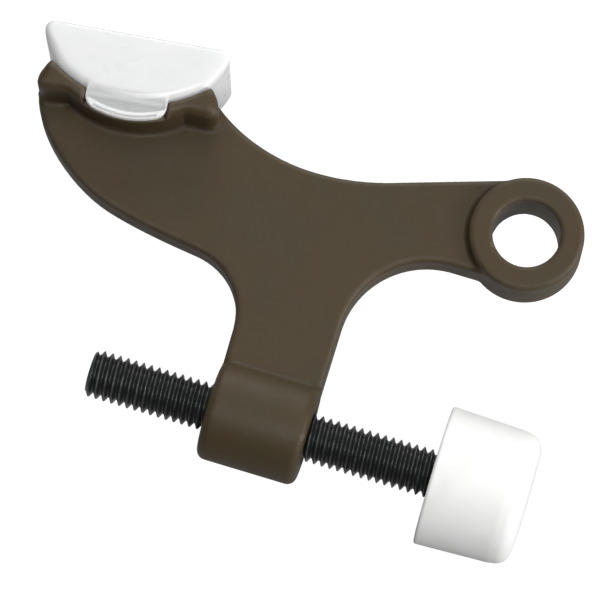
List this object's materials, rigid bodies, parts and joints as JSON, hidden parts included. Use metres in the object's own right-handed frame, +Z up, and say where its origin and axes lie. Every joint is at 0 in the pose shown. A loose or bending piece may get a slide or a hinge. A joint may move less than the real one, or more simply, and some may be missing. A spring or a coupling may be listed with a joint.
{
  "type": "hinge pin door stop",
  "caption": "Hinge-pin door stop: a cast arm with a pin ring, a soft pad in a saddle and a threaded screw with a rubber bumper.",
  "frame": {"origin": "on the hinge pin's axis, at the middle of the arm's thickness", "axes": "+Z up along the hinge pin, +X along the bumper screw towards the bumper, +Y towards the soft pad's striking face"},
  "size_m": [0.0735, 0.0505, 0.0176],
  "materials": {
    "cast_paint": "satin bronze-brown paint on a zinc die casting",
    "black_steel": "black oxide, lightly oiled",
    "white_rubber": "smooth satin white rubber",
    "clear_vinyl": "milky translucent soft vinyl"
  },
  "bodies": {
    "arm": {"arm_casting": "cast_paint", "soft_pad": "clear_vinyl"},
    "bumper": {"rubber_bumper": "white_rubber"},
    "screw": {"bumper_screw": "black_steel"}
  },
  "joints": [
    {"name": "bumper_travel", "type": "slide", "parent": "arm", "child": "bumper", "axis": [1, 0, 0], "range_m": [-0.0157, 0.0153]},
    {"name": "screw_turn", "type": "hinge", "parent": "bumper", "child": "screw", "pos_m": [0, -0.0315, 0], "axis": [1, 0, 0], "range_deg": [-5652, 5508]}
  ],
  "couplings": [
    {"joint": "screw_turn", "follows": "bumper_travel", "rad_per_m": 6283.2}
  ]
}
